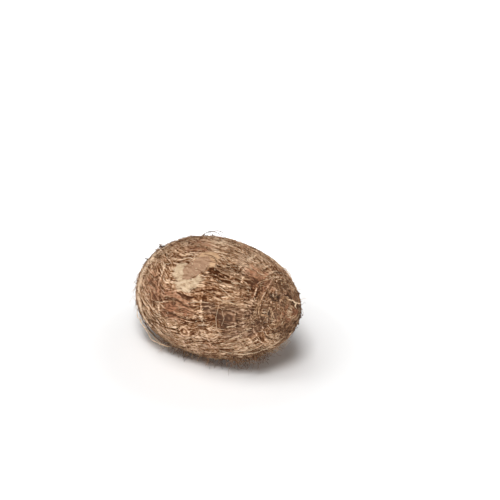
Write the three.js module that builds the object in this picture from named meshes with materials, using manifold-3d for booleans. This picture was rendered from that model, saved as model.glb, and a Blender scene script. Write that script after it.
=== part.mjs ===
// A taro root: one whole corm lying on its side, as it rests on a table.
// Millimetres, +Z up. The growth axis runs along X, with the growing tip at +X.

import * as THREE from 'three';
import { mergeVertices } from 'three/addons/utils/BufferGeometryUtils.js';
import Module from 'manifold-3d';

const { degToRad } = THREE.MathUtils;

// The egg that the corm grew to, before its growth axis is tilted.
const HALF_LENGTH = 43.0;
const HALF_WIDTH = 26.0;
const HALF_HEIGHT = 28.0;
const TIP_TAPER = 0.53; // 0.5 at both ends is an ellipse, more is more pointed
const OLD_END_TAPER = 0.48;
const AXIS_BOW = 1.2; // how much higher the middle of the growth axis lies than its ends
const TIP_LIFT = degToRad(10); // the growing tip lies higher than the old end
const FOOT_DEPTH = 1.6; // how much of the round underside is pressed flat

// Leaf scars: low ridges that run round the growth axis.
const RING_COUNT = 26;
const RING_HEIGHT = 0.45; // from groove to crest
const SECTORS = 60; // facets round the growth axis

// Uneven growth: slow swells with a height, a count round the axis and a phase.
const SWELLS = [
  { height: 0.5, lobes: 2, twist: 1.0, phase: 0.4 },
  { height: 0.35, lobes: 3, twist: -1.5, phase: 2.1 },
  { height: 0.25, lobes: 5, twist: 2.0, phase: 4.0 },
];

// Side buds: domes on the skin. The polar angle counts from the growing tip, and the angle
// round the axis counts from +Y through +Z.
const BUDS = [
  { polar: 91, around: 192, radius: 3.0 },
  { polar: 57, around: 173, radius: 3.2 },
  { polar: 74, around: 22, radius: 3.4 },
  { polar: 112, around: 52, radius: 2.8 },
  { polar: 60, around: 318, radius: 3.0 },
  { polar: 100, around: 332, radius: 2.6 },
];
const BUD_HEIGHT = 0.9;

// The growing tip, and the dished scar where the corm parted from the mother plant.
const TIP_RADIUS = 4.2;
const TIP_HEIGHT = 2.2;
const PARTING_SCAR_RADIUS = 7.0;
const PARTING_SCAR_DEPTH = 1.1;

// A patch where the skin is rubbed smooth and flat.
const RUBBED_PATCH = { polar: 84, around: 128, depth: 0.45 };

/** Girth of the egg, 0 to 1, at a place along the axis from -1 (old end) to 1 (tip). */
function girthAt(along) {
  const widest = (OLD_END_TAPER - TIP_TAPER) / (OLD_END_TAPER + TIP_TAPER);
  const curve = (t) => Math.max(1 - t, 0) ** TIP_TAPER * Math.max(1 + t, 0) ** OLD_END_TAPER;
  return curve(along) / curve(widest);
}

/** How far the skin stands out from the egg: leaf-scar rings and swells, none at the ends. */
function proudAt(polar, around) {
  const awayFromEnds = Math.sin(polar) ** 2;
  const ring = (RING_HEIGHT / 2) * -Math.cos(2 * RING_COUNT * polar);
  const swell = SWELLS.reduce(
    (sum, s) => sum + s.height * Math.sin(s.lobes * around + s.twist * polar + s.phase),
    0,
  );
  return awayFromEnds * (ring + swell);
}

/** A point of the skin, before the tilt, for an angle from the tip and one round the axis. */
function skinPoint(polar, around) {
  const along = Math.cos(polar);
  const girth = girthAt(along);
  const proud = proudAt(polar, around);
  return new THREE.Vector3(
    HALF_LENGTH * along,
    (HALF_WIDTH * girth + proud) * Math.cos(around),
    (HALF_HEIGHT * girth + proud) * Math.sin(around) + AXIS_BOW * girth ** 2,
  );
}

/** The skin's outward direction at those angles. */
function skinNormal(polar, around) {
  const step = 0.02;
  const lengthwise = skinPoint(polar + step, around).sub(skinPoint(polar - step, around));
  const crosswise = skinPoint(polar, around + step).sub(skinPoint(polar, around - step));
  return lengthwise.cross(crosswise).normalize();
}

/** The whole skin as a closed grid: one row on each crest and one in each groove. */
function skinGeometry() {
  const geometry = new THREE.SphereGeometry(1, SECTORS, 2 * RING_COUNT);
  const position = geometry.attributes.position;
  for (let i = 0; i < position.count; i += 1) {
    const onSphere = new THREE.Vector3().fromBufferAttribute(position, i);
    const polar = Math.acos(THREE.MathUtils.clamp(onSphere.y, -1, 1));
    const around = Math.atan2(onSphere.z, -onSphere.x);
    const point = skinPoint(polar, around);
    position.setXYZ(i, point.x, point.y, point.z);
  }
  return geometry;
}

/** Sets a shape whose own axis is +Y on the skin, facing out, sunk or raised by a distance. */
function placeOnSkin(geometry, polarDegrees, aroundDegrees, raised) {
  const polar = degToRad(polarDegrees);
  const around = degToRad(aroundDegrees);
  const outward = skinNormal(polar, around);
  const place = skinPoint(polar, around).addScaledVector(outward, raised);
  const turn = new THREE.Quaternion().setFromUnitVectors(new THREE.Vector3(0, 1, 0), outward);
  return geometry.applyQuaternion(turn).translate(place.x, place.y, place.z);
}

/** A low dome, a squashed ball sunk halfway into the skin. */
function budGeometry(bud) {
  const dome = new THREE.SphereGeometry(bud.radius, 14, 8).scale(1, BUD_HEIGHT / bud.radius, 1);
  return placeOnSkin(dome, bud.polar, bud.around, 0);
}

/** The blunt growing tip, with a step where the youngest leaf scar was. */
function growingTipGeometry() {
  const outline = [
    new THREE.Vector2(0, -TIP_HEIGHT),
    new THREE.Vector2(TIP_RADIUS, -TIP_HEIGHT),
    new THREE.Vector2(TIP_RADIUS, 0),
    new THREE.Vector2(0.72 * TIP_RADIUS, 0.35 * TIP_HEIGHT),
    new THREE.Vector2(0.55 * TIP_RADIUS, 0.75 * TIP_HEIGHT),
    new THREE.Vector2(0.25 * TIP_RADIUS, TIP_HEIGHT),
    new THREE.Vector2(0, TIP_HEIGHT),
  ];
  const stub = new THREE.LatheGeometry(outline, 18);
  return stub.rotateZ(-Math.PI / 2).translate(HALF_LENGTH, 0, 0);
}

/** The lens-shaped cutter of the parting scar at the old end. */
function partingScarGeometry() {
  const lens = new THREE.SphereGeometry(PARTING_SCAR_RADIUS, 24, 12);
  lens.scale(1, (PARTING_SCAR_DEPTH + 1) / PARTING_SCAR_RADIUS, 1);
  return lens.rotateZ(Math.PI / 2).translate(1 - HALF_LENGTH, 0, 0);
}

/** A block that takes off everything beyond a plane laid just under the skin. */
function rubbedPatchGeometry() {
  const size = 2 * HALF_LENGTH;
  const block = new THREE.BoxGeometry(size, size, size).translate(0, size / 2, 0);
  return placeOnSkin(block, RUBBED_PATCH.polar, RUBBED_PATCH.around, -RUBBED_PATCH.depth);
}

/** A block under the corm whose top is the plane that it rests on. */
function footGeometry(lowest) {
  const size = 3 * HALF_LENGTH;
  return new THREE.BoxGeometry(size, size, size).translate(0, 0, lowest + FOOT_DEPTH - size / 2);
}

const wasm = await Module();
wasm.setup();

/** A closed three.js mesh as a solid that can be joined and cut. */
function toSolid(geometry) {
  const bare = geometry.clone();
  bare.deleteAttribute('normal');
  bare.deleteAttribute('uv');
  const merged = mergeVertices(bare, 1e-3);
  const mesh = new wasm.Mesh({
    numProp: 3,
    vertProperties: new Float32Array(merged.attributes.position.array),
    triVerts: new Uint32Array(merged.index.array),
  });
  return new wasm.Manifold(mesh);
}

/** A solid as a three.js geometry. */
function toGeometry(solid) {
  const mesh = solid.getMesh();
  const geometry = new THREE.BufferGeometry();
  geometry.setAttribute('position', new THREE.BufferAttribute(mesh.vertProperties, 3));
  geometry.setIndex(new THREE.BufferAttribute(mesh.triVerts, 1));
  return geometry;
}

/** The corm in its resting pose, with its origin under the middle of its box. */
function cormGeometry() {
  let solid = toSolid(skinGeometry());
  for (const bud of BUDS) solid = solid.add(toSolid(budGeometry(bud)));
  solid = solid.add(toSolid(growingTipGeometry()));
  solid = solid.subtract(toSolid(partingScarGeometry()));
  solid = solid.subtract(toSolid(rubbedPatchGeometry()));

  const tilted = toGeometry(solid).rotateY(-TIP_LIFT);
  tilted.computeBoundingBox();
  const resting = toGeometry(toSolid(tilted).subtract(toSolid(footGeometry(tilted.boundingBox.min.z))));
  resting.computeBoundingBox();
  const { min, max } = resting.boundingBox;
  resting.translate(-(min.x + max.x) / 2, -(min.y + max.y) / 2, -min.z);
  resting.computeVertexNormals();
  return resting;
}

const skinMaterial = new THREE.MeshStandardMaterial({
  color: new THREE.Color(0.4, 0.26, 0.16),
  roughness: 0.85,
  metalness: 0,
});

const corm = new THREE.Mesh(cormGeometry(), skinMaterial);
corm.name = 'corm';

const taroRoot = new THREE.Group();
taroRoot.add(corm);

export default taroRoot;
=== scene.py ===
"""A taro root, a whole corm lying on its side: the looks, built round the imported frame.

Sizes are millimetres unless a name says otherwise; the frame and Blender are in metres, and MM
is the step between them. A place on the corm is a distance along the skin from the growing tip,
or for the buds polar degrees as in the CAD, and degrees round the growth axis, from +Y through
+Z. 180 is the side that faces the camera.
"""

import math
from itertools import product

import bpy
import numpy as np
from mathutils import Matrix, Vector
from mathutils.bvhtree import BVHTree


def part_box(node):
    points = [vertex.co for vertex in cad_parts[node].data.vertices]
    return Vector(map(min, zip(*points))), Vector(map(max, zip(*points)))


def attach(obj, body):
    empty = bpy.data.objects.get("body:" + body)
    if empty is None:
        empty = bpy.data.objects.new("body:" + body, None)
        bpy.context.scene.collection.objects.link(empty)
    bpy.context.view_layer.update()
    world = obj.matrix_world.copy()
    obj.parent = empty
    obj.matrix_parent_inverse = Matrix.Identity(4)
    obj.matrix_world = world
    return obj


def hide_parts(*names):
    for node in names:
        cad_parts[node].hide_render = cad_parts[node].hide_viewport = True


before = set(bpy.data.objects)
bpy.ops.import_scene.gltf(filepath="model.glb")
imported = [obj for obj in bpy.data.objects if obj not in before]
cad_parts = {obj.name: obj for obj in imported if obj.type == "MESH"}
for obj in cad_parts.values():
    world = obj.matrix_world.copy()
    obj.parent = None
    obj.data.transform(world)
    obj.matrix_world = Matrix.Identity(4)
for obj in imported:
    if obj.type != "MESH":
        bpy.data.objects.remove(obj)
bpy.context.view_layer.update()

MM = 0.001
RANDOM_SEED = 7

# The corm's growth axis, as in the CAD.
TIP_LIFT = math.radians(10)
GRID_CELLS = 128  # cells along each side of the six grids that wrap the corm

low_corner, high_corner = (np.array(corner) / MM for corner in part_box("corm"))
CENTRE = (low_corner + high_corner) / 2
HALF_LENGTH, HALF_WIDTH, HALF_HEIGHT = (high_corner - low_corner) / 2
GIRTH_RADIUS = (HALF_WIDTH + HALF_HEIGHT) / 2

# Camera: the photo's viewing angle and framing.
CAMERA_AZIMUTH, CAMERA_ELEVATION = math.radians(38), math.radians(27)
CAMERA_DISTANCE = 850
VIEW_WIDTH = 225  # how much the picture takes in, across, at the corm
CORM_LEFT_OF_CENTRE, CORM_BELOW_CENTRE = 13.5, 21.8
SENSOR_WIDTH = 36

# The stage, in metres as the names say, and its lights: name, then right, back and up as the
# camera sees it in metres, size in metres, power in watts.
FLOOR_REACH_M, BACKDROP_REACH_M, BACKDROP_HEIGHT_M = 3.0, 2.9, 0.6
BACKDROP_SIDES = 48
PAPER_WHITE, PAPER_ROUGHNESS = (0.9, 0.9, 0.9), 0.9
NEAR_GLOW_M, NEAR_GLOW = (0.045, 0.115), 0.58  # from and to, and how strong by then
FAR_GLOW_M, FAR_GLOW = (0.2, 0.9), 0.6
LIGHTS = [("key", -0.05, -0.65, 0.95, 0.32, 8.5), ("overhead", -0.2, -0.25, 1.1, 0.65, 5.5)]
WORLD_STRENGTH = 0.09


# ---- Noise on points, the same each run ----


HASH_FACTORS = (374761393, 668265263, 1442695041)
SEED_FACTOR, MIX_FACTOR = 97531, 1274126177
WORD, TEN_BITS = 0xFFFFFFFF, 1023


def hashed(cell, seed):
    """A 32-bit number for each whole-number cell."""
    mixed = sum(cell[..., k] * factor for k, factor in enumerate(HASH_FACTORS))
    mixed = (mixed + seed * SEED_FACTOR) & WORD
    mixed = ((mixed ^ (mixed >> 13)) * MIX_FACTOR) & WORD
    return (mixed ^ (mixed >> 16)) & WORD


def three_parts(code):
    """Three whole numbers of ten bits out of each 32-bit number."""
    return np.stack([code >> shift & TEN_BITS for shift in (0, 10, 20)], -1)


def noise(points, seed):
    """Smooth gradient noise, about -1 to 1, with features about one unit across."""
    cell = np.floor(points).astype(np.int64)
    inside = points - cell
    ease = inside**3 * (inside * (inside * 6 - 15) + 10)
    total = np.zeros(len(points))
    for corner in product((0, 1), repeat=3):
        code = hashed(cell + np.array(corner), seed)
        slope = three_parts(code) / (TEN_BITS / 2) - 1
        share = np.where(np.array(corner) == 1, ease, 1 - ease).prod(-1)
        total += share * ((inside - np.array(corner)) * slope).sum(-1)
    return total * 1.6


def layered(points, layers, seed):
    """Noise with finer and weaker layers added."""
    total, size = 0, 0
    for layer in range(layers):
        total = total + noise(points * 2.03**layer, seed + 31 * layer) / 1.9**layer
        size += 1 / 1.9**layer
    return total / size


def cells(points, seed):
    """Scattered cells: each point's offset from the nearest centre, how much further the next
    centre is, and a number from 0 to 1 that the cell keeps."""
    cell = np.floor(points).astype(np.int64)
    near = np.full(len(points), 9.0)
    second = np.full(len(points), 9.0)
    offset = np.zeros_like(points)
    name = np.zeros(len(points))
    for step in product((-1, 0, 1), repeat=3):
        there = cell + np.array(step)
        code = hashed(there, seed)
        away = points - there - three_parts(code) / TEN_BITS
        gap = np.linalg.norm(away, axis=-1)
        closer = gap < near
        second = np.where(closer, near, np.minimum(second, gap))
        name = np.where(closer, (code >> 7 & 4095) / 4095, name)
        offset = np.where(closer[:, None], away, offset)
        near = np.where(closer, gap, near)
    return offset, second - near, name


def ramp(value, start, end):
    """0 up to start, 1 from end, and an S between them."""
    t = np.clip((value - start) / (end - start), 0, 1)
    return t * t * (3 - 2 * t)


# ---- Places on the corm ----


def within_half_turn(angle):
    """The same angle, brought to within half a turn of zero."""
    return (angle + math.pi) % (2 * math.pi) - math.pi


def tilt(points):
    """Egg coordinates, with the growth axis along X, to the row's frame."""
    c, s = math.cos(TIP_LIFT), math.sin(TIP_LIFT)
    x, y, z = np.moveaxis(np.asarray(points, float), -1, 0)
    return np.stack([x * c - z * s, y, x * s + z * c], -1)


def direction(polar, around):
    """Which way a place lies from the middle of the corm, for angles in radians."""
    egg = np.stack(
        [
            HALF_LENGTH * np.cos(polar),
            HALF_WIDTH * np.sin(polar) * np.cos(around),
            HALF_HEIGHT * np.sin(polar) * np.sin(around),
        ],
        -1,
    )
    way = tilt(egg)
    return way / np.linalg.norm(way, axis=-1, keepdims=True)


ARC_ANGLES = np.linspace(0, math.pi, 721)
ARC_STEPS = np.hypot(HALF_LENGTH * np.sin(ARC_ANGLES), GIRTH_RADIUS * np.cos(ARC_ANGLES))
ARC_LENGTHS = np.concatenate([[0], np.cumsum((ARC_STEPS[1:] + ARC_STEPS[:-1]) / 2)])
ARC_LENGTHS *= ARC_ANGLES[1]


def arc_length(polar):
    """Distance along the skin from the growing tip."""
    return np.interp(polar, ARC_ANGLES, ARC_LENGTHS)


def polar_at(arc):
    """The polar angle at a distance along the skin from the growing tip."""
    return np.interp(arc, ARC_LENGTHS, ARC_ANGLES)


def away_from(place_polar, place_around, arc, around):
    """How far points of the skin are from a place, which is given in degrees."""
    polar = math.radians(place_polar)
    turn = within_half_turn(around - math.radians(place_around))
    return np.hypot(arc - arc_length(polar), turn * GIRTH_RADIUS * math.sin(polar))


def from_edge(points, start, end):
    """How far along a straight edge each point lies, from 0 to 1, and how far from it."""
    edge = end - start
    share = np.clip((points - start) @ edge / (edge @ edge), 0, 1)
    return share, np.linalg.norm(points - start - share[:, None] * edge, axis=1)


class Caster:
    """Finds the skin by looking out from the middle of the corm."""

    def __init__(self, points, faces):
        self.tree = BVHTree.FromPolygons([tuple(p) for p in points], [tuple(f) for f in faces])

    def hits(self, ways):
        """What is met from the middle each way: point, direction, face and distance."""
        middle = Vector(CENTRE)
        return [self.tree.ray_cast(middle, Vector(w)) for w in ways]

    def reach(self, ways):
        """Distances from the middle to the skin."""
        return np.array([hit[3] for hit in self.hits(ways)])

    def touch(self, ways):
        """Points on the skin and its outward directions there."""
        hits = self.hits(ways)
        points, outward = (np.array([hit[k] for hit in hits]) for k in (0, 1))
        outward *= np.sign((outward * ways).sum(-1, keepdims=True))
        return points, outward


def node_surface(name):
    """A CAD node's points, in millimetres, and its faces."""
    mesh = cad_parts[name].data
    points = np.array([v.co for v in mesh.vertices]) / MM
    return points, [tuple(p.vertices) for p in mesh.polygons]


# ---- The skin as a grid: six squares wrapped round a ball, two of them capping the ends ----


def ball_grid(count):
    """Directions on a unit ball, four-sided faces, and each face corner's place on the map.

    On the four side squares one set of lines runs lengthwise, from end to end.
    """
    x, y, z = np.eye(3)
    squares = [(y, x, z), (z, x, -y), (-y, x, -z), (-z, x, y), (x, y, z), (-x, y, -z)]
    line = np.linspace(-math.pi / 4, math.pi / 4, count + 1)
    across, up = np.meshgrid(np.tan(line), np.tan(line), indexing="ij")
    ways, faces, places = [], [], []
    for number, (out, right, top) in enumerate(squares):
        way = out + across[..., None] * right + up[..., None] * top
        ways.append(way.reshape(-1, 3))
        index = np.arange((count + 1) ** 2).reshape(count + 1, count + 1) + len(ways[0]) * number
        quad = [index[:-1, :-1], index[1:, :-1], index[1:, 1:], index[:-1, 1:]]
        if np.dot(np.cross(right, top), out) < 0:
            quad.reverse()
        faces.append(np.stack(quad, -1).reshape(-1, 4))
        column, row = number % 3, number // 3
        share = (np.indices((count + 1, count + 1)) / count) * 0.96 + 0.02
        place = np.stack([(share[0] + column) / 3, (share[1] + row) / 2], -1)
        places.append(place.reshape(-1, 2))
    ways, faces, places = (np.concatenate(part) for part in (ways, faces, places))
    ways /= np.linalg.norm(ways, axis=1, keepdims=True)
    _, first, same = np.unique(np.round(ways, 6), axis=0, return_index=True, return_inverse=True)
    return ways[first], same.reshape(-1)[faces], places[faces]


def grid_edges(faces):
    """Each edge once, as two lists of points."""
    pairs = np.concatenate([faces[:, [k, (k + 1) % 4]] for k in range(4)])
    pairs = np.unique(np.sort(pairs, 1), axis=0)
    return pairs[:, 0], pairs[:, 1]


def smoothed(values, edges, rounds):
    """Values on the grid, each drawn towards the mean of its neighbours, some number of times."""
    a, b = edges
    size = len(values)
    degree = np.bincount(a, minlength=size) + np.bincount(b, minlength=size)
    for _ in range(rounds):
        near = np.bincount(a, values[b], size) + np.bincount(b, values[a], size)
        values = 0.4 * values + 0.6 * near / degree
    return values


def outward_at(points, faces):
    """The outward direction at each point of a grid."""
    a, b, c, d = (points[faces[:, k]] for k in range(4))
    cross = np.cross(c - a, d - b)
    total = np.zeros_like(points)
    for k in range(4):
        np.add.at(total, faces[:, k], cross)
    return total / np.linalg.norm(total, axis=1, keepdims=True)


# ---- Making Blender objects ----


def add_object(name, data):
    """A new object with this data, in the scene."""
    made = bpy.data.objects.new(name, data)
    bpy.context.collection.objects.link(made)
    return made


def make_piece(name, points, faces, material, places, values):
    """A smooth mesh piece that rides on the corm. values holds a number or vector per point."""
    mesh = bpy.data.meshes.new(name)
    mesh.from_pydata((points * MM).tolist(), [], [tuple(map(int, f)) for f in faces])
    mesh.polygons.foreach_set("use_smooth", [True] * len(mesh.polygons))
    layer = mesh.uv_layers.new(name="OFBake")
    layer.data.foreach_set("uv", np.concatenate(places).ravel())
    for title, numbers in values.items():
        numbers = np.asarray(numbers, float)
        kind, field = ("FLOAT", "value") if numbers.ndim == 1 else ("FLOAT_VECTOR", "vector")
        mesh.attributes.new(title, kind, "POINT").data.foreach_set(field, numbers.ravel())
    mesh.materials.append(material)
    mesh.validate()
    piece = add_object(name, mesh)
    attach(piece, "root")
    return piece


# ---- Stage ----


def way_to_camera():
    a, e = CAMERA_AZIMUTH, CAMERA_ELEVATION
    return Vector((math.sin(a) * math.cos(e), -math.cos(a) * math.cos(e), math.sin(e)))


def aimed_object(name, data, place, way):
    """A new camera or light at a place in metres, looking along a way."""
    made = add_object(name, data)
    made.location = place
    made.rotation_mode = "QUATERNION"
    made.rotation_quaternion = way.to_track_quat("-Z", "Y")
    return made


def make_camera():
    back = way_to_camera()
    right = Vector((math.cos(CAMERA_AZIMUTH), math.sin(CAMERA_AZIMUTH), 0))
    up = back.cross(right)
    aim = Vector(CENTRE) + right * CORM_LEFT_OF_CENTRE + up * CORM_BELOW_CENTRE
    data = bpy.data.cameras.new("camera")
    data.sensor_width = SENSOR_WIDTH
    data.lens = data.sensor_width * CAMERA_DISTANCE / VIEW_WIDTH
    data.clip_start, data.clip_end = 0.01, 10
    place = (aim + back * CAMERA_DISTANCE) * MM
    bpy.context.scene.camera = aimed_object("camera", data, place, -back)


def make_light(name, right, back, up, size, power):
    """A square soft light that faces the corm. Its place is in metres as the camera sees it."""
    c, s = math.cos(CAMERA_AZIMUTH), math.sin(CAMERA_AZIMUTH)
    place = Vector((right * c - back * s, right * s + back * c, up))
    data = bpy.data.lights.new(name, "AREA")
    data.size = size
    data.energy = power
    aimed_object(name, data, place, -place)


def stage_object(name, corners, faces, material):
    """A new plain mesh object, in metres."""
    mesh = bpy.data.meshes.new(name)
    mesh.from_pydata(corners, [], faces)
    mesh.materials.append(material)
    return add_object(name, mesh)


def white_paper(name):
    """White paper that glows; how strongly is left to the caller."""
    n = Nodes(name)
    n.surface("Base Color", PAPER_WHITE)
    n.surface("Roughness", PAPER_ROUGHNESS)
    n.surface("Emission Color", (1, 1, 1))
    return n


def paper_material():
    """White paper that glows a little away from the corm, so that it stays white there."""
    n = white_paper("paper")
    away = n.node("VectorMath")
    away.operation = "LENGTH"
    n.put(away.inputs[0], n.node("TexCoord").outputs["Object"])
    near = n.between(away.outputs["Value"], *NEAR_GLOW_M, 0, NEAR_GLOW)
    far = n.between(away.outputs["Value"], *FAR_GLOW_M, 0, FAR_GLOW)
    n.surface("Emission Strength", n.math("ADD", near, far))
    return n.material


def make_backdrop():
    """A low white wall all round, far off, so that level views end in white as well."""
    reach, height, sides = BACKDROP_REACH_M, BACKDROP_HEIGHT_M, BACKDROP_SIDES
    turn = np.linspace(0, 2 * math.pi, sides, endpoint=False)
    ring = np.stack([reach * np.cos(turn), reach * np.sin(turn), 0 * turn], -1)
    corners = np.concatenate([ring, ring + [0, 0, height]]).tolist()
    walls = [(k, (k + 1) % sides, (k + 1) % sides + sides, k + sides) for k in range(sides)]
    n = white_paper("backdrop_white")
    n.surface("Emission Strength", 1.0)
    backdrop = stage_object("backdrop", corners, walls, n.material)


def make_stage():
    reach = FLOOR_REACH_M
    corners = [(-reach, -reach, 0), (reach, -reach, 0), (reach, reach, 0), (-reach, reach, 0)]
    floor = stage_object("floor", corners, [(0, 1, 2, 3)], paper_material())
    make_backdrop()
    for light in LIGHTS:
        make_light(*light)
    world = bpy.data.worlds.new("studio")
    world.use_nodes = True
    background = world.node_tree.nodes["Background"]
    background.inputs["Color"].default_value = (1, 1, 1, 1)
    background.inputs["Strength"].default_value = WORLD_STRENGTH
    bpy.context.scene.world = world
    bpy.context.scene.view_settings.view_transform = "Standard"


# ---- Material nodes ----


class Nodes:
    """Short names for the shader nodes that the materials are built from."""

    def __init__(self, name):
        self.material = bpy.data.materials.new(name)
        self.material.use_nodes = True
        self.tree = self.material.node_tree
        self.shader = self.tree.nodes["Principled BSDF"]

    def put(self, socket, value):
        """A link or a plain value into a socket."""
        if isinstance(value, bpy.types.NodeSocket):
            self.tree.links.new(value, socket)
        elif socket.type == "RGBA":
            socket.default_value = (*value, 1)
        else:
            socket.default_value = value

    def node(self, kind, **inputs):
        """A new node, with links or plain values in its inputs."""
        node = self.tree.nodes.new("ShaderNode" + kind)
        for title, value in inputs.items():
            self.put(node.inputs[title], value)
        return node

    def surface(self, title, value):
        """A link or a plain value into one of the shader's own sockets."""
        self.put(self.shader.inputs[title], value)

    def attribute(self, name, output="Fac"):
        node = self.node("Attribute")
        node.attribute_name = name
        return node.outputs[output]

    def math(self, operation, *numbers):
        node = self.node("Math")
        node.operation = operation
        for socket, number in zip(node.inputs, numbers):
            self.put(socket, number)
        return node.outputs[0]

    def scaled(self, vector, factors, shift=(0, 0, 0)):
        return self.node("Mapping", Vector=vector, Scale=factors, Location=shift).outputs[0]

    def noise(self, vector, detail):
        node = self.node("TexNoise", Vector=vector, Scale=1.0, Detail=detail, Roughness=0.55)
        return node.outputs["Fac"]

    def between(self, value, start, end, low=0.0, high=1.0):
        """low at start, high at end, and an S between them."""
        node = self.node("MapRange", Value=value)
        node.interpolation_type = "SMOOTHSTEP"
        for socket, number in zip(node.inputs[1:5], (start, end, low, high)):
            self.put(socket, number)
        return node.outputs[0]

    def mix(self, share, first, second, blend="MIX"):
        node = self.node("Mix")
        node.data_type = "RGBA"
        node.blend_type = blend
        for place, value in ((0, share), (6, first), (7, second)):
            self.put(node.inputs[place], value)
        return node.outputs[2]

    def fade(self, share, first, second):
        """A plain number between two others."""
        node = self.node("Mix")
        for place, value in ((0, share), (2, first), (3, second)):
            self.put(node.inputs[place], value)
        return node.outputs[0]

    def palette(self, value, stops):
        """The colour for a value, between stops of (value, colour)."""
        node = self.node("ValToRGB", Fac=value)
        while len(node.color_ramp.elements) < len(stops):
            node.color_ramp.elements.new(0.5)
        for element, (place, colour) in zip(node.color_ramp.elements, stops):
            element.position = place
            element.color = (*colour, 1)
        return node.outputs["Color"]

    def grey(self, value):
        node = self.node("CombineColor")
        for socket in node.inputs:
            self.put(socket, value)
        return node.outputs[0]

    def bump(self, height, distance):
        node = self.node("Bump", Height=height, Distance=distance, Strength=1.0)
        self.surface("Normal", node.outputs[0])


# Colours of the skin from its darkest cracks to its palest fibres, as light reflected (linear),
# and the colours of its special patches.
TONES = [
    (0.04, (0.064, 0.020, 0.006)),
    (0.20, (0.124, 0.047, 0.018)),
    (0.36, (0.202, 0.093, 0.043)),
    (0.50, (0.315, 0.168, 0.090)),
    (0.63, (0.440, 0.258, 0.150)),
    (0.76, (0.575, 0.370, 0.228)),
    (0.92, (0.760, 0.560, 0.390)),
]
SKIN_SPECULAR, STRAND_SPECULAR, STRAND_ROUGHNESS = 0.08, 0.1, 0.7
RUST = (0.25, 0.112, 0.060)
ASH = (0.185, 0.118, 0.082)
CHALK = [(0.2, (0.36, 0.24, 0.145)), (0.5, (0.52, 0.385, 0.255)), (0.8, (0.60, 0.46, 0.32))]
TAN = [(0.2, (0.33, 0.19, 0.10)), (0.5, (0.47, 0.29, 0.165)), (0.8, (0.57, 0.38, 0.23))]
RUBBED = [(0.2, (0.25, 0.14, 0.08)), (0.5, (0.325, 0.195, 0.122)), (0.8, (0.40, 0.25, 0.155))]


def skin_material():
    n = Nodes("taro_skin")
    grain = n.attribute("grain", "Vector")
    grain_end = n.attribute("grain_end", "Vector")
    endness = n.attribute("endness")
    tipness = n.attribute("tipness")
    smooth = n.attribute("smooth")

    def streaks(length, width, shift, detail=2.0):
        factors = (1 / length, 1 / width, 1 / width)
        side = n.noise(n.scaled(grain, factors, shift), detail)
        end = n.noise(n.scaled(grain_end, factors, shift), detail)
        factors = (1 / width, 2.2 / length, 2.2 / length)
        tip = n.noise(n.scaled(grain_end, factors, shift), detail)
        return n.fade(tipness, n.fade(endness, side, end), tip)

    def lines(length, width, shift, thickness, often):
        """Thin wandering cracks along the grain, in some places, each with a pale lip. In the
        colour the dark crack is painted shade and the pale lip a painted highlight on its lit
        edge.
        """
        off = n.math("SUBTRACT", streaks(length, width, shift, 1.5), 0.5)
        place = n.noise(n.scaled(grain, (0.16, 0.22, 0.22), shift), 1.0)
        where = n.between(place, 0.56 - often, 0.66 - often)
        crack = n.between(n.math("ABSOLUTE", off), 0.3 * thickness, thickness, 1.0, 0.0)
        lip_off = n.math("ABSOLUTE", n.math("SUBTRACT", off, 1.9 * thickness))
        lip = n.between(lip_off, 0.3 * thickness, thickness, 1.0, 0.0)
        return n.math("MULTIPLY", crack, where), n.math("MULTIPLY", lip, where)

    broad = streaks(13, 3.2, (3, 1, 7))
    medium = streaks(6, 1.3, (11, 5, 2), 3.0)
    fine = streaks(3.4, 0.5, (1, 9, 4), 3.0)
    speck = n.noise(n.scaled(grain, (0.9, 0.9, 0.9)), 3.0)
    cracks, lips = lines(14, 3.0, (5, 8, 1), 0.022, 0.10)
    small_cracks, small_lips = lines(7, 1.5, (2, 3, 9), 0.030, 0.08)
    cracks = n.math("MAXIMUM", cracks, small_cracks)
    lips = n.math("MAXIMUM", lips, small_lips)

    tone = n.math("MULTIPLY", n.math("SUBTRACT", broad, 0.5), 1.0)
    for part, weight in ((medium, 1.4), (fine, 2.3), (speck, 1.1)):
        tone = n.math("MULTIPLY_ADD", n.math("SUBTRACT", part, 0.5), weight, tone)
    tone = n.math("MULTIPLY_ADD", tone, n.fade(smooth, 1.0, 0.3), 0.57)
    # The height, the cracks and the lips also set the tone: lighter on ridges and lips, painted
    # light, and darker in cracks and hollows, painted shade; the scales' own random tone rides on
    # the height too.
    for part, weight in ((n.attribute("relief"), 0.95), (cracks, -0.5), (lips, 0.24)):
        tone = n.math("MULTIPLY_ADD", part, weight, tone)
    tone = n.math("ADD", tone, n.attribute("lightness"))
    colour = n.palette(tone, TONES)
    dim = n.between(tone, 0.2, 0.8, 0.45, 1.5)

    def patch(colour, mask, hue):
        shaded = n.mix(1.0, hue, n.grey(dim), "MULTIPLY")
        return n.mix(n.attribute(mask), colour, shaded)

    colour = patch(colour, "rust", RUST)
    colour = patch(colour, "ash", ASH)
    worn = n.math("MULTIPLY_ADD", n.math("SUBTRACT", medium, 0.5), 1.4, 0.5)
    worn = n.math("MULTIPLY_ADD", n.math("SUBTRACT", speck, 0.5), 1.0, worn)
    for mask, stops in (("chalk", CHALK), ("tan", TAN), ("rubbed", RUBBED)):
        colour = n.mix(n.attribute(mask), colour, n.palette(worn, stops))
    n.surface("Base Color", colour)
    n.surface("Roughness", n.fade(smooth, 0.88, 0.6))
    n.surface("Specular IOR Level", SKIN_SPECULAR)
    height = n.math("ADD", n.math("MULTIPLY", fine, 0.7), n.math("MULTIPLY", medium, 0.8))
    height = n.math("ADD", height, n.math("MULTIPLY", speck, 0.4))
    for part, weight in ((cracks, -0.6), (lips, 0.3)):
        height = n.math("MULTIPLY_ADD", part, weight, height)
    height = n.math("MULTIPLY", height, n.fade(smooth, 1.0, 0.12))
    n.bump(height, 0.5 * MM)
    return n.material


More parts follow.
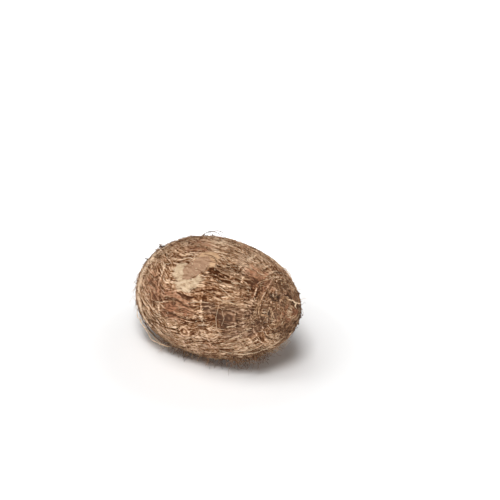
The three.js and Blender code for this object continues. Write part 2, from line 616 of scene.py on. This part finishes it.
def strand_material(name):
    """Dry fibres, each with a shade of its own, blotched along its length."""
    n = Nodes(name)
    blotch = n.noise(n.scaled(n.attribute("grain", "Vector"), (0.8, 0.8, 0.8)), 2.0)
    spread = n.math("MULTIPLY", n.math("SUBTRACT", blotch, 0.5), 0.9)
    colour = n.palette(n.math("ADD", n.attribute("shade"), spread), STRAND_TONES)
    n.surface("Base Color", colour)
    n.surface("Roughness", STRAND_ROUGHNESS)
    n.surface("Specular IOR Level", STRAND_SPECULAR)
    return n.material


# ---- The corm's skin ----

RING_SPACING = 4.1
RING_AT = 45.5  # distance from the tip of one ring; the others are counted from it
# Stretches of ring that stand out: (ring, degrees round at the middle, degrees to each side).
MARKED_RINGS = [(0, 178, 38), (6, 150, 50), (-4, 195, 35), (-7, 160, 70), (-5, 60, 40),
                (3, 320, 60), (8, 30, 70), (-2, 290, 60), (-6, 330, 60), (-6, 112, 34),
                (-4, 104, 30), (-3, 96, 24)]

# Areas of skin: how soft and how ragged the edge is, the seed of its noise, and the outlines, as
# (distance from the growing tip, degrees round the axis).
AREAS = [
    (0.25, 0.5, 1, [  # rubbed bare
        [(59, 131), (58, 124), (54, 114), (51, 111), (48, 114),
         (48, 124), (51, 134), (54, 140), (57, 141)],
    ]),
    (0.35, 0.8, 6, [  # rubbed tan
        [(56, 115), (54, 108), (50, 103), (45, 107), (45, 118), (48, 125), (50, 114)],
    ]),
    (0.5, 1.3, 2, [  # chalky
        [(64, 127), (60, 124), (57, 138), (54, 140), (50, 134), (47, 136),
         (50, 146), (53, 152), (58, 151), (61, 144), (64, 137)],
    ]),
    (1.0, 1.5, 3, [  # flaking
        [(49, 123), (46, 112), (40, 109), (33, 111), (29, 128), (32, 136), (43, 134)],
        [(27, 114), (21, 110), (17, 123), (21, 136), (27, 129)],
    ]),
    (1.0, 1.5, 7, [  # purple
        [(46, 159), (39, 156), (37, 167), (43, 171)],
    ]),
    (1.5, 2.0, 8, [  # dull
        [(38, 166), (30, 156), (20, 158), (13, 168), (13, 195), (24, 204), (36, 200)],
    ]),
    (2.0, 2.5, 9, [  # reddish
        [(80, 137), (73, 139), (68, 150), (68, 165), (76, 168), (80, 153)],
        [(69, 94), (62, 86), (54, 92), (52, 101), (56, 108), (64, 107)],
        [(67, 150), (56, 154), (50, 160), (52, 176), (60, 182), (68, 178)],
        [(30, 96), (20, 90), (14, 112), (20, 130), (28, 122)],
    ]),
    (1.0, 1.5, 14, [  # grey
        [(15, 125), (11, 103), (8, 115), (11, 136)],
        [(16, 157), (9, 162), (9, 188), (15, 180)],
    ]),
]

# Lighter and darker areas: distance from the tip, degrees round, reach and how much lighter.
# Some are the skin's own blotches; the paler top is painted light, the darker underside painted
# shade, and the darker front of the tip partly painted shade. The far side has only the slow
# noise.
BLOTCHES_AND_PAINTED_LIGHT = [
    (54, 88, 12, 0.35),  # the crown, paler: painted light on the top
    (31, 100, 13, 0.35),  # the tan streaked flank on top, paler: painted light on the top
    (66, 100, 9, 0.25),  # the shoulder, paler: painted light on the top
    (28, 215, 9, 0.20),  # a tan patch low near the tip
    (54, 206, 9, 0.15),  # the pale front of the belly
    (36, 178, 9, -0.30),  # the dark whorl round the second bud
    (13, 165, 13, -0.30),  # the front of the tip, darker: partly its own colour, partly painted shade
    (45, 157, 8, -0.20),  # the skin in front of the rubbed patch, darker
    (46, 235, 10, -0.25),  # the underside, darker: painted shade
]

# Long cracks and raised pale lips that run over the skin, as (distance, degrees) paths. A lip
# also has a width and a strength. The cracks are darkened, painted shade; the lips are pale in
# their own colour and made paler still, painted light.
CRACKS = [
    [(59, 153.5), (53, 156), (48.5, 155.5)], [(68, 174), (60, 175), (55, 178), (43, 178.5)],
    [(47, 148), (41.6, 145), (33, 143.5)], [(47, 126), (42, 126), (37.5, 128), (34.6, 132)],
    [(64, 161), (58, 161), (53, 165), (48, 165)], [(82.6, 191.5), (74, 191), (68, 193), (61, 191)],
    [(56, 205), (46, 203), (38, 206)], [(70, 20), (61, 24), (52, 22)],
    [(50, 338), (41, 335), (33, 339)], [(66, 300), (58, 304), (47, 301)],
    [(44, 60), (36, 57), (27, 61)], [(88, 40), (79, 44), (70, 42)],
]
OLD_END_LIP = [(76, 91), (83, 107), (86, 128), (88, 145), (89, 166), (87, 187), (82, 203)]
LIPS = [
    (OLD_END_LIP, 2.6, 1.0),
    ([(16.7, 112), (17.5, 98), (17.7, 76)], 0.9, 0.55),
    ([(91, 280), (93, 310), (89, 345)], 0.9, 0.55),
]

# Side buds: the CAD's domes, each a rimmed eye: polar degrees, degrees round, radius. Their
# rings: how far out, as a share of the radius, and how high. Strands keep a margin from them.
BUDS = [(91, 192, 3.0), (57, 173, 3.2), (74, 22, 3.4), (112, 52, 2.8), (60, 318, 3.0),
        (100, 332, 2.6)]
BUD_RINGS = ((0, 1.2), (0.44, -1.0), (0.83, 0.8), (1.15, -0.5))
BUD_MARGIN = 0.3
ASKEW_AROUND = 168  # degrees round: the side where the grain runs askew over the old end


class Skin:
    """The corm's skin as a grid, with its places and its noise coordinates."""

    def __init__(self):
        ways, self.faces, self.places = ball_grid(GRID_CELLS)
        self.polar = np.arccos(np.clip(ways[:, 0], -1, 1))
        self.around = np.arctan2(ways[:, 2], ways[:, 1]) % (2 * math.pi)
        self.arc = arc_length(self.polar)
        self.girth = np.sin(self.polar)
        look = direction(self.polar, self.around)
        reach = Caster(*node_surface("corm")).reach(look)
        egg = np.linalg.norm(ways * [HALF_LENGTH, HALF_WIDTH, HALF_HEIGHT], axis=1)
        ratio = smoothed(reach / egg, grid_edges(self.faces), 60)
        self.points = CENTRE + look * (ratio * egg)[:, None]
        self.out = outward_at(self.points, self.faces)
        sway = 0.05 * noise(self.points / 11, 1) + 0.03 * noise(self.points / 4.5, 2)
        # Over the old end, on one side, the grain runs askew.
        far = np.abs(within_half_turn(self.around - math.radians(ASKEW_AROUND)))
        askew = 0.024 * np.maximum(self.arc - 66, 0) * ramp(far, 1.5, 0.7)
        self.swayed = self.around + sway + askew
        self.endness = ramp(self.girth, 0.62, 0.42)
        self.tipness = ramp(self.arc, 30, 12)

    def lengthwise(self, length, width):
        """Two sets of coordinates for features that long and that wide, drawn out along the
        corm: one for the sides, and a coarser one for the ends, where the lines draw together."""
        sets = []
        for radius in (GIRTH_RADIUS, 0.42 * GIRTH_RADIUS):
            ring = radius / width * np.stack([np.cos(self.swayed), np.sin(self.swayed)], -1)
            sets.append(np.concatenate([self.arc[:, None] / length, ring], 1))
        return sets

    def streaks(self, length, width, seed, layers=1):
        """Noise drawn out along the corm, and near the tip across it."""
        side, end = (layered(c, layers, seed) for c in self.lengthwise(length, width))
        tip = layered(self.lengthwise(width, 0.5 * length)[1], layers, seed)
        side = side + (end - side) * self.endness
        return side + (tip - side) * self.tipness

    def plates(self, length, width, seed):
        """Long scales of skin: across, from -1 to 1; the gap to the next; a number for each."""
        side, end = (cells(c, seed) for c in self.lengthwise(length, width))
        tangent = np.stack([0 * self.around, -np.sin(self.swayed), np.cos(self.swayed)], -1)
        at_end = self.endness > 0.5
        offset, gap, name = (
            np.where(at_end if e.ndim == 1 else at_end[:, None], e, s) for s, e in zip(side, end)
        )
        return (offset * tangent).sum(-1), gap, name

    def flattened(self, path, ragged, seed):
        """The skin's points and a path's points laid flat round the path, the first ragged."""
        corners = np.array([(arc, math.radians(around)) for arc, around in path])
        centre = corners[:, 1].mean() if np.ptp(corners[:, 1]) < math.pi else 0
        turn = within_half_turn(self.around - centre)
        radius = GIRTH_RADIUS * np.sin(polar_at(corners[:, 0].mean()))
        here = np.stack([self.arc, turn * radius], -1)
        here[:, 0] += 2.0 * ragged * self.streaks(5, 1.1, seed + 5, 2)
        here[:, 1] += 0.6 * ragged * layered(self.points / 1.5, 2, seed + 9)
        corner_turn = within_half_turn(corners[:, 1] - centre)
        return here, np.stack([corners[:, 0], corner_turn * radius], -1)

    def along(self, path, width, ragged, seed):
        """1 on a line over the skin, falling to 0 at its width, thinner towards its ends."""
        here, shape = self.flattened(path, ragged, seed)
        best = np.zeros(len(here))
        for number, (start, end) in enumerate(zip(shape, shape[1:])):
            share, gap = from_edge(here, start, end)
            place = (number + share) / (len(shape) - 1)
            wide = width * (0.25 + 0.75 * np.sqrt(np.sin(math.pi * place)))
            best = np.maximum(best, ramp(gap / wide, 1.0, 0.2))
        return best

    def inside(self, outline, soften, ragged, seed):
        """1 inside an outline on the skin and 0 outside, with a ragged edge."""
        here, shape = self.flattened(outline, ragged, seed)
        distance = np.full(len(here), 1e9)
        within = np.zeros(len(here), bool)
        for start, end in zip(shape, np.roll(shape, -1, 0)):
            distance = np.minimum(distance, from_edge(here, start, end)[1])
            crosses = (start[1] > here[:, 1]) != (end[1] > here[:, 1])
            rise = end[1] - start[1] if end[1] != start[1] else 1e-9
            where = start[0] + (here[:, 1] - start[1]) / rise * (end - start)[0]
            within ^= crosses & (here[:, 0] < where)
        return ramp(np.where(within, distance, -distance), -soften, soften)


def shape_skin(skin):
    """How far each point stands out, and the masks that colour the skin."""

    def patches(size, seed):
        """Noise over the skin, about -1 to 1, in patches of that size."""
        return noise(skin.points / size, seed)

    rubbed, tan, chalk, flaky, purple, dull, rust, ash = (
        np.max([skin.inside(o, soften, ragged, seed + k) for k, o in enumerate(outlines)], 0)
        for soften, ragged, seed, outlines in AREAS
    )
    cracks = np.max([skin.along(p, 0.6, 0.5, 40 + k) for k, p in enumerate(CRACKS)], 0)
    lips = [high * skin.along(p, wide, 0.5, 60 + k) for k, (p, wide, high) in enumerate(LIPS)]
    lips = np.max(lips, 0)
    # Random blotches of the skin's own tone, then the listed areas: painted light on the top, and
    # painted shade underneath and at the front of the tip.
    blotches_and_painted_light = 0.10 * patches(12, 71)
    for arc, around, reach, lighter in BLOTCHES_AND_PAINTED_LIGHT:
        away = away_from(math.degrees(polar_at(arc)), around, skin.arc, skin.around)
        blotches_and_painted_light = blotches_and_painted_light + lighter * ramp(away + 1.5 * patches(3, 30), reach, 0)
    smooth = np.max([rubbed, tan, chalk * 0.9], 0)
    rough = 1 - smooth

    # Slow bumps and long scales of skin with cracks between them.
    slow = 0.35 * layered(skin.points / 8, 2, 20)
    across, gap, name = skin.plates(15, 2.6, 21)
    crack_here = ramp(patches(9, 22), -0.3, 0.3)
    crack = ramp(gap, 0.09, 0.01) * crack_here * ramp(abs(across), 0.12, 0.3)
    small_across, small_gap, small_name = skin.plates(6, 1.4, 23)
    small_crack = ramp(small_gap, 0.16, 0.03) * ramp(abs(small_across), 0.1, 0.3)
    relief = 0.10 * (name - 0.5) + 0.14 * across * crack_here - 0.32 * crack
    relief += 0.06 * (small_name - 0.5) + 0.10 * small_across - 0.10 * small_crack
    relief += 0.14 * skin.streaks(9, 1.5, 24, 2)
    line = ramp(abs(skin.streaks(12, 2.4, 25)), 0.06, 0.0)
    relief -= 0.26 * line * ramp(patches(8, 26), -0.2, 0.2)

    # Striations drawn together over the old end.
    old = ramp(skin.arc, 66, 78)
    relief += old * (0.34 * skin.streaks(6, 1.1, 27, 2) - 0.25 * line)

    # Leaf-scar rings: worn ridges of short tufts, each with a groove on its tip side. They
    # stand out most near the tip, and here and there along the corm.
    wander = 0.5 * patches(13, 30) + 0.15 * patches(3, 31)
    phase = (skin.arc - RING_AT) / RING_SPACING + wander * 0.35
    from_ring = (phase - np.round(phase)) * RING_SPACING
    ring = np.exp(-((from_ring / 0.42) ** 2))
    groove = np.exp(-(((from_ring + 0.9) / 0.5) ** 2))
    marked = 0
    for number, around, side in MARKED_RINGS:
        turn = np.abs((np.degrees(skin.around) - around + 180) % 360 - 180)
        marked = np.maximum(marked, (np.round(phase) == number) * ramp(turn, side, 0.7 * side))
    patchy = ramp(patches(7, 32), -0.5, 0.3)
    strength = (0.3 + 0.9 * ramp(skin.arc, 36, 20)) * patchy * ramp(skin.arc, 101, 90)
    strength += marked * (0.6 + 0.5 * patchy)
    bead = ramp(patches(0.8, 33), -0.2, 0.35)
    relief += strength * (0.30 * ring * (0.4 + 0.8 * bead) - 0.20 * groove)

    # The scar where the corm parted from its mother: a corky dish with a broken rim.
    from_scar = ARC_LENGTHS[-1] - skin.arc + 0.5 * patches(2.5, 34)
    dish = ramp(from_scar, 7.2, 6.0)
    broken = 0.5 + 0.7 * ramp(patches(1, 35), -0.3, 0.3)
    rim = np.exp(-(((from_scar - 7.6) / 0.9) ** 2)) * broken
    _, cork_gap, cork_name = cells(skin.points / 1.3, 36)
    relief *= 1 - dish
    relief += dish * (0.5 * (cork_name - 0.5) - 0.3 * ramp(cork_gap, 0.25, 0.03)) + 0.8 * rim
    slow = slow - 0.9 * dish

    # Dark flaking patches.
    _, flake_gap, flake_name = cells(skin.points / 1.7, 40)
    relief += flaky * (0.35 * (flake_name - 0.5) - 0.35 * ramp(flake_gap, 0.2, 0.02))
    relief -= flaky * 0.5 * ramp(abs(skin.streaks(9, 1.8, 41)), 0.2, 0.0)
    relief *= rough

    # Buds: rings round a small point, like an eye.
    eyes = 0
    for polar, around, radius in BUDS:
        away = away_from(polar, around, skin.arc, skin.around)
        away = away + 0.2 * patches(1.2, 50)
        near = ramp(away, radius + 0.9, radius - 0.2)
        relief *= 1 - 0.9 * near
        rough = rough * (1 - 0.8 * near)
        for share, size in BUD_RINGS:
            eyes = eyes + size * np.exp(-(((away - share * radius) / (0.16 * radius)) ** 2))
    eyes = eyes * (1 - 0.45 * dull)
    relief += 0.30 * eyes
    relief += 0.5 * lips * (1 + 0.4 * small_across) - 0.45 * cracks
    height = slow + relief - 0.12 * np.maximum(rubbed, tan)

    # Colour: darker along the long cracks, painted shade; paler on the raised lips, painted light
    # over their own pale colour; the bud rings lighter where raised and darker in their grooves,
    # painted light and shade.
    lightness = blotches_and_painted_light - 0.12 * dull - 0.14 * flaky - 0.16 * purple - 0.30 * cracks + 0.34 * lips
    lightness = lightness + 0.26 * strength * ring * bead * rough + 0.10 * eyes
    lightness = lightness - 0.16 * dish + 0.16 * rim
    rust = 0.8 * np.maximum(rust, 0.8 * ramp(skin.arc + skin.streaks(4, 2, 61), 13, 8))
    side, end = skin.lengthwise(1, 1)
    return height, {
        # The height, which the shader also turns into painted light on ridges and painted shade in
        # cracks.
        "relief": relief,
        "lightness": lightness,
        "rubbed": rubbed,
        "tan": tan * (1 - rubbed),
        "chalk": chalk * (1 - rubbed),
        "rust": np.clip(rust + 0.35 * ramp(patches(10, 60), 0.1, 0.5), 0, 1),
        "ash": np.clip(0.7 * ash + 0.5 * purple + 0.45 * dull, 0, 1),
        "smooth": 1 - rough,
        "endness": skin.endness,
        "tipness": skin.tipness,
        "grain": side,
        "grain_end": end,
    }


def make_corm():
    """The skin as a piece, and a caster that finds it."""
    skin = Skin()
    height, masks = shape_skin(skin)
    points = skin.points + skin.out * height[:, None]
    points[:, 2] = np.maximum(points[:, 2], 0)
    corm = make_piece("taro_corm", points, skin.faces, skin_material(), skin.places, masks)
    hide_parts("corm")
    return Caster(points, skin.faces)


# ---- Fibres and hairs ----

STRAND_TONES = [
    (0.0, (0.060, 0.027, 0.013)),
    (0.35, (0.195, 0.097, 0.050)),
    (0.7, (0.450, 0.275, 0.155)),
    (1.0, (0.740, 0.550, 0.370)),
]
FLOOR_GAP, LOWEST_CORNER = 0.05, 0.03  # strands and their corners stay this far off the floor
FIBRES_TRIED, TUFTS_TRIED = 3000, 1900


class Strands:
    """Many strands that start on the skin, each a row of points that wander over it."""

    def __init__(self, rng, arc, around, heading, length, steps, curl):
        """arc and around say where each starts, heading 0 is towards the old end, in radians."""
        self.rng, self.count, self.steps = rng, len(arc), steps
        self.share = np.linspace(0, 1, steps)
        self.length = np.broadcast_to(length, self.count)
        stride = (self.length / (steps - 1))[:, None]
        turns = rng.normal(0, 1, (self.count, steps)) * curl
        turns = np.cumsum(turns, 1) - turns.sum(1, keepdims=True) * 0.5
        way = np.asarray(heading)[:, None] + turns
        self.arc = np.asarray(arc)[:, None] + np.cumsum(np.cos(way) * stride, 1)
        polar = polar_at(np.clip(self.arc, 1, ARC_LENGTHS[-1] - 1))
        radius = GIRTH_RADIUS * np.maximum(np.sin(polar), 0.12)
        self.around = np.asarray(around)[:, None] + np.cumsum(np.sin(way) * stride / radius, 1)
        self.polar = polar

    def off_buds(self):
        """Leaves out the strands that would cross a bud."""
        keep = np.ones(self.count, bool)
        for polar, around, radius in BUDS:
            away = away_from(polar, around, self.arc, self.around)
            keep &= away.min(1) > radius + BUD_MARGIN
        self.arc, self.around, self.polar = self.arc[keep], self.around[keep], self.polar[keep]
        self.length, self.count = self.length[keep], int(keep.sum())
        return self

    @classmethod
    def through(cls, rng, paths, steps=17):
        """One strand through each path of (distance from the tip, degrees round)."""
        none = np.zeros(len(paths))
        strands = cls(rng, none, none, none, 1, steps, 0)
        for number, path in enumerate(paths):
            marks = np.linspace(0, 1, len(path))
            strands.arc[number] = np.interp(strands.share, marks, [p[0] for p in path])
            turns = np.radians([p[1] for p in path])
            strands.around[number] = np.interp(strands.share, marks, turns)
            strands.polar[number] = polar_at(strands.arc[number])
        return strands

    def shades(self, mean, spread):
        """A shade for each strand, from 0, dark, to 1, pale."""
        return np.clip(self.rng.normal(mean, spread, self.count), 0, 1)

    def lay(self, caster, lift):
        """Sets the strands on the skin, as far off it as lift says at each of their points."""
        looks = direction(self.polar, self.around).reshape(-1, 3)
        points, out = caster.touch(looks)
        self.out = out.reshape(self.count, self.steps, 3)
        self.points = points.reshape(self.out.shape) + self.out * lift[..., None]
        return self

    def drift(self, amount, droop=0.0):
        """Lets the free ends wander off, further towards the end, and droop."""
        push = self.rng.normal(0, 1, (self.count, 3, 3))
        bend = self.share[None, :, None] ** 2
        waves = [np.sin(math.pi * k * self.share)[None, :, None] for k in (0.5, 1.5, 2.5)]
        sway = sum(w * push[:, k, None, :] / (k + 1) for k, w in enumerate(waves))
        size = np.broadcast_to(amount, self.count)[:, None, None]
        self.points = self.points + bend * sway * size
        self.points[..., 2] -= droop * self.share**2
        return self

    def grow(self, name, material, half_width, height, shade, taper=0.15):
        """Makes the piece: three-sided strands, flat and wide or thin and round."""
        self.points[..., 2] = np.maximum(self.points[..., 2], FLOOR_GAP + height)
        along = np.gradient(self.points, axis=1)
        side = np.cross(along, self.out)
        side /= np.linalg.norm(side, axis=-1, keepdims=True) + 1e-9
        up = np.cross(side, along)
        up /= np.linalg.norm(up, axis=-1, keepdims=True) + 1e-9
        slim = taper + (1 - taper) * np.sin(math.pi * (0.12 + 0.76 * self.share)) ** 0.7
        half = np.broadcast_to(half_width, self.count)[:, None, None] * slim[None, :, None]
        ridge = height * slim[None, :, None]
        corners = np.stack(
            [self.points - side * half, self.points + side * half, self.points + up * ridge], 2
        )
        corners[..., 2] = np.maximum(corners[..., 2], LOWEST_CORNER)
        faces, places = strand_faces(self.count, self.steps)
        grain = np.stack([self.arc, self.around * GIRTH_RADIUS, 0 * self.arc + 7], -1)
        values = {
            "shade": np.repeat(np.asarray(shade), 3 * self.steps),
            "grain": np.repeat(grain.reshape(-1, 3), 3, 0),
        }
        points, look = corners.reshape(-1, 3), strand_material(material)
        return make_piece(name, points, faces, look, places, values)


def strand_faces(count, steps):
    """Faces of three-sided closed strands, and a place for each strand on the map."""
    ring = np.arange(3)
    step = np.arange(steps - 1)[:, None]
    low, after = 3 * step + ring, 3 * step + (ring + 1) % 3
    sides = np.stack([low, after, after + 3, low + 3], -1).reshape(-1, 4)
    last = 3 * (steps - 1)
    ends = [(2, 1, 0), (last, last + 1, last + 2)]
    columns = math.ceil(math.sqrt(count))
    left, right = step / (steps - 1) * 0.8, (step + 1) / (steps - 1) * 0.8
    bottom, top = ring * 0.3, ring * 0.3 + 0.26
    across, up = np.broadcast_arrays(left, bottom[None, :])
    far, high = np.broadcast_arrays(right, top[None, :])
    corners = [(across, up), (across, high), (far, high), (far, up)]
    side_places = np.stack([np.stack(c, -1) for c in corners], 2).reshape(-1, 4, 2)
    end_places = [np.array([(0.84, b), (0.94, b), (0.84, b + 0.2)]) for b in (0.05, 0.5)]
    faces, places = [], []
    for number in range(count):
        base = np.array([number % columns, number // columns])
        shift = 3 * steps * number
        faces += (sides + shift).tolist() + [[v + shift for v in end] for end in ends]
        places.append(((side_places + base + 0.03) / columns).reshape(-1, 2))
        places += [(end + base + 0.03) / columns for end in end_places]
    return faces, places


def skin_fibres(caster, rng):
    """Long papery fibres that lie along the skin."""
    arc = rng.uniform(4, 103, FIBRES_TRIED)
    around = rng.uniform(0, 2 * math.pi, FIBRES_TRIED)
    chance = rng.uniform(0, 1, FIBRES_TRIED)
    sparse = ((arc > 30) & (arc < 70) & (chance > 0.3)) | ((arc > 70) & (chance > 0.6))
    sparse |= (arc < 22) & (chance > 0.65)
    flank = (abs(arc - 38) < 19) & (abs(np.degrees(around) - 100) < 22)
    sparse &= ~flank
    bare = (abs(arc - 54) < 12) & (abs(np.degrees(around) - 130) < 28)
    lip_arc, lip_around = np.transpose(OLD_END_LIP)
    bare |= abs(arc - 1.5 - np.interp(np.degrees(around), lip_around, lip_arc, 0, 0)) < 4.5
    arc, around = arc[~sparse & ~bare], around[~sparse & ~bare]
    count = len(arc)
    askew = (arc > 67) & (abs(np.degrees(around) - ASKEW_AROUND) < 55)
    heading = rng.normal(0, 0.10, count) + np.where(arc > 74, rng.normal(0, 0.35, count), 0)
    heading += np.where(askew, -0.6, 0) + np.where(arc < 20, rng.normal(1.4, 0.4, count), 0)
    length = rng.uniform(3, 11, count)
    strands = Strands(rng, arc, around, heading, length, 9, 0.16).off_buds()
    count = strands.count
    lift = 0.05 + rng.uniform(0, 0.25, (count, 1)) * (2 * strands.share - 1)[None, :] ** 4
    strands.lay(caster, lift)
    width = rng.uniform(0.10, 0.26, count)
    # Fibres near the tip are darker: partly their own colour, partly painted shade, as on the skin
    # there.
    shade = rng.normal(0.6, 0.22, count) - 0.22 * (strands.arc[:, 0] < 18)
    shade = np.clip(shade, 0, 1)
    strands.grow("skin_fibres", "dry_fibre", width, 0.10, shade)


def ring_tufts(caster, rng):
    """Short pale bristles, the worn ends of leaf sheaths, in rows along the rings."""
    rings = RING_AT + RING_SPACING * np.arange(-10, 15)
    count = TUFTS_TRIED
    ring = rings[rng.integers(0, len(rings), count)]
    around = rng.uniform(0, 2 * math.pi, count)
    arc = ring + rng.normal(0, 0.35, count)
    heading = math.pi + rng.normal(0, 0.45, count)
    strands = Strands(rng, arc, around, heading, rng.uniform(0.8, 2.4, count), 5, 0.12)
    count = strands.off_buds().count
    lift = 0.04 + rng.uniform(0.1, 0.7, (count, 1)) * strands.share[None, :] ** 1.5
    strands.lay(caster, lift)
    shade = strands.shades(0.75, 0.18)
    width = rng.uniform(0.08, 0.18, count)
    strands.grow("ring_tufts", "sheath_bristle", width, 0.08, shade)


def scattered(rng, caster, windows, length, curl, lift, steps=9, spread=35):
    """Strands that start in windows on the skin: (distances, degrees round, how many, heading)."""
    arc, around, heading = [], [], []
    for (low, high), (first, last), count, way in windows:
        arc.append(rng.uniform(low, high, count))
        around.append(np.radians(rng.uniform(first, last, count)))
        heading.append(np.radians(rng.normal(way, spread, count)))
    arc, around, heading = (np.concatenate(part) for part in (arc, around, heading))
    strands = Strands(rng, arc, around, heading, rng.uniform(*length, len(arc)), steps, curl)
    rise = rng.uniform(*lift, (strands.off_buds().count, 1)) * strands.share[None, :] ** 1.6
    return strands.lay(caster, 0.06 + rise)


def root_hairs(caster, rng):
    """Fine curly root hairs: a few all over, more underneath and at the old end."""
    windows = [
        ((5, 108), (0, 360), 260, 0), ((22, 48), (228, 262), 150, 90),
        ((84, 102), (0, 360), 160, 90), ((55, 80), (215, 250), 70, 60),
        ((58, 84), (60, 100), 60, 0),
    ]
    strands = scattered(rng, caster, windows, (2, 7), 0.35, (0.3, 2.4))
    strands.drift(rng.uniform(0.2, 1.4, strands.count), 0.4)
    shade = strands.shades(0.5, 0.25)
    strands.grow("root_hairs", "root_hair", 0.06, 0.09, shade, 0.4)


def floor_hairs(caster, rng):
    """A tuft of longer hairs that hangs from the underside to the floor."""
    windows = [((22, 44), (226, 247), 90, 70), ((44, 84), (216, 240), 40, 60)]
    strands = scattered(rng, caster, windows, (2, 7), 0.3, (0.6, 3.8))
    strands.drift(rng.uniform(0.3, 1.8, strands.count), 1.5)
    shade = strands.shades(0.2, 0.16)
    strands.grow("floor_hairs", "floor_hair", 0.07, 0.1, shade, 0.4)


def bark_flakes(caster, rng):
    """Wider dark scraps of old skin that lift at one end, round the tip and over the old end."""
    windows = [
        ((8, 14), (60, 120), 16, 150), ((5, 14), (215, 400), 50, 180),
        ((62, 90), (60, 105), 70, 20), ((86, 103), (0, 360), 110, 60),
    ]
    strands = scattered(rng, caster, windows, (1.5, 4.5), 0.15, (0.2, 1.1), 6)
    strands.drift(rng.uniform(0.1, 0.5, strands.count))
    shade = strands.shades(0.27, 0.19)
    width = rng.uniform(0.22, 0.5, strands.count)
    strands.grow("bark_flakes", "old_bark", width, 0.12, shade, 0.3)


def tip_scales(caster, rng):
    """What is left of the scale leaves round the growing tip: broad scraps that point at it."""
    windows = [((8, 17), (205, 460), 85, 180), ((9, 18), (100, 205), 12, 180)]
    strands = scattered(rng, caster, windows, (3, 5.5), 0.03, (0.15, 0.7), 7, 9)
    shade = strands.shades(0.35, 0.15)
    width = rng.uniform(0.35, 0.75, strands.count)
    strands.grow("tip_scales", "scale_leaf", width, 0.18, shade, 0.1)


def loose_strands(caster, rng):
    """A few long strands that have come away from the skin: (path, half width, lift, shade)."""
    strands_here = [
        ([(90, 190), (86, 206), (78, 219), (67, 229)], 0.5, 1.5, 0.02),
        ([(94, 186), (90, 205), (83, 216)], 0.14, 1.8, 1.0),
        ([(90, 200), (82, 218), (74, 228)], 0.12, 3.4, 1.0),
        ([(88, 210), (80, 224), (72, 236)], 0.10, 2.2, 0.95), ([(6, 95), (3, 60)], 0.4, 0.9, 1.0),
        ([(5, 75), (3, 30)], 0.3, 0.9, 1.0), ([(9, 100), (5, 75), (3, 20)], 0.4, 1.0, 0.05),
        ([(43, 216), (34, 228), (25, 235), (15, 243)], 0.2, 0.7, 1.0),
        ([(37, 163), (38, 173), (38, 185), (37, 197)], 0.10, 0.35, 0.95),
        ([(35, 165), (34, 172), (35, 180)], 0.09, 0.3, 0.9),
        ([(44, 238), (36, 250), (27, 254)], 0.12, 1.4, 0.6),
        ([(60, 62), (66, 66), (72, 70)], 0.14, 2.0, 0.1),
        ([(56, 70), (62, 64), (68, 66)], 0.10, 2.4, 0.3),
        ([(14, 205), (10, 230), (8, 262)], 0.16, 1.2, 0.1),
        ([(50, 300), (42, 312), (33, 309)], 0.14, 0.8, 0.9),
        ([(70, 330), (60, 336), (52, 330)], 0.16, 0.9, 0.5),
        ([(40, 20), (30, 28), (22, 22)], 0.12, 0.8, 0.8),
    ]
    strands = Strands.through(rng, [strand[0] for strand in strands_here])
    widths, lifts, shades = (np.array([s[k] for s in strands_here]) for k in (1, 2, 3))
    rise = lifts[:, None] * np.sin(math.pi * (0.08 + 0.8 * strands.share))[None, :]
    strands.lay(caster, rise).drift(0.8)
    strands.grow("loose_strands", "loose_strand", widths, 0.3, shades)


def make_fibres(caster):
    rng = np.random.default_rng(RANDOM_SEED)
    kinds = [skin_fibres, ring_tufts, root_hairs, floor_hairs, bark_flakes, tip_scales]
    for grow in kinds + [loose_strands]:
        grow(caster, rng)


make_camera()
make_stage()
make_fibres(make_corm())
